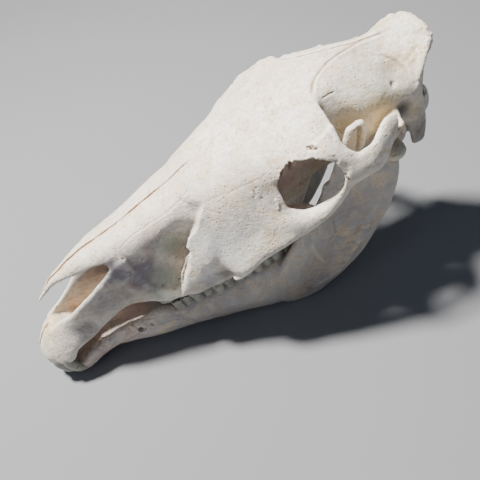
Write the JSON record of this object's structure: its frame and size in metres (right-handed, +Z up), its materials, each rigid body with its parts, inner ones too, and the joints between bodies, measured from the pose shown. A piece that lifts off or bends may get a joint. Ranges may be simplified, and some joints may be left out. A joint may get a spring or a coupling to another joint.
{
  "type": "zebra skull",
  "caption": "Bleached zebra skull with its lower jaw and teeth in place, resting on its chin and jaw angles; a display or teaching specimen.",
  "frame": {"origin": "centre of the bounding box on the surface that the skull rests on", "axes": "+X towards the animal's left, +Y from the snout back to the nuchal crest, +Z up; the skull rests on its lower jaw, nose a little down"},
  "size_m": [0.1965, 0.4819, 0.2833],
  "materials": {
    "bone": "sun-bleached bone, dull to satin, with warm cream patches",
    "jaw_bone": "sun-bleached bone, slightly greyer",
    "tooth": "worn enamel with cement and tan stain"
  },
  "bodies": {
    "root": {"cranium": "bone", "lower_jaw": "jaw_bone", "upper_left_premolar_2": "tooth", "upper_left_premolar_3": "tooth", "upper_left_premolar_4": "tooth", "upper_left_molar_1": "tooth", "upper_left_molar_2": "tooth", "upper_left_molar_3": "tooth", "upper_left_incisor_1": "tooth", "upper_left_incisor_2": "tooth", "upper_left_incisor_3": "tooth", "upper_right_premolar_2": "tooth", "upper_right_premolar_3": "tooth", "upper_right_premolar_4": "tooth", "upper_right_molar_1": "tooth", "upper_right_molar_2": "tooth", "upper_right_molar_3": "tooth", "upper_right_incisor_1": "tooth", "upper_right_incisor_2": "tooth", "upper_right_incisor_3": "tooth", "lower_left_premolar_2": "tooth", "lower_left_premolar_3": "tooth", "lower_left_premolar_4": "tooth", "lower_left_molar_1": "tooth", "lower_left_molar_2": "tooth", "lower_left_molar_3": "tooth", "lower_left_incisor_1": "tooth", "lower_left_incisor_2": "tooth", "lower_left_incisor_3": "tooth", "lower_right_premolar_2": "tooth", "lower_right_premolar_3": "tooth", "lower_right_premolar_4": "tooth", "lower_right_molar_1": "tooth", "lower_right_molar_2": "tooth", "lower_right_molar_3": "tooth", "lower_right_incisor_1": "tooth", "lower_right_incisor_2": "tooth", "lower_right_incisor_3": "tooth"}
  },
  "joints": []
}
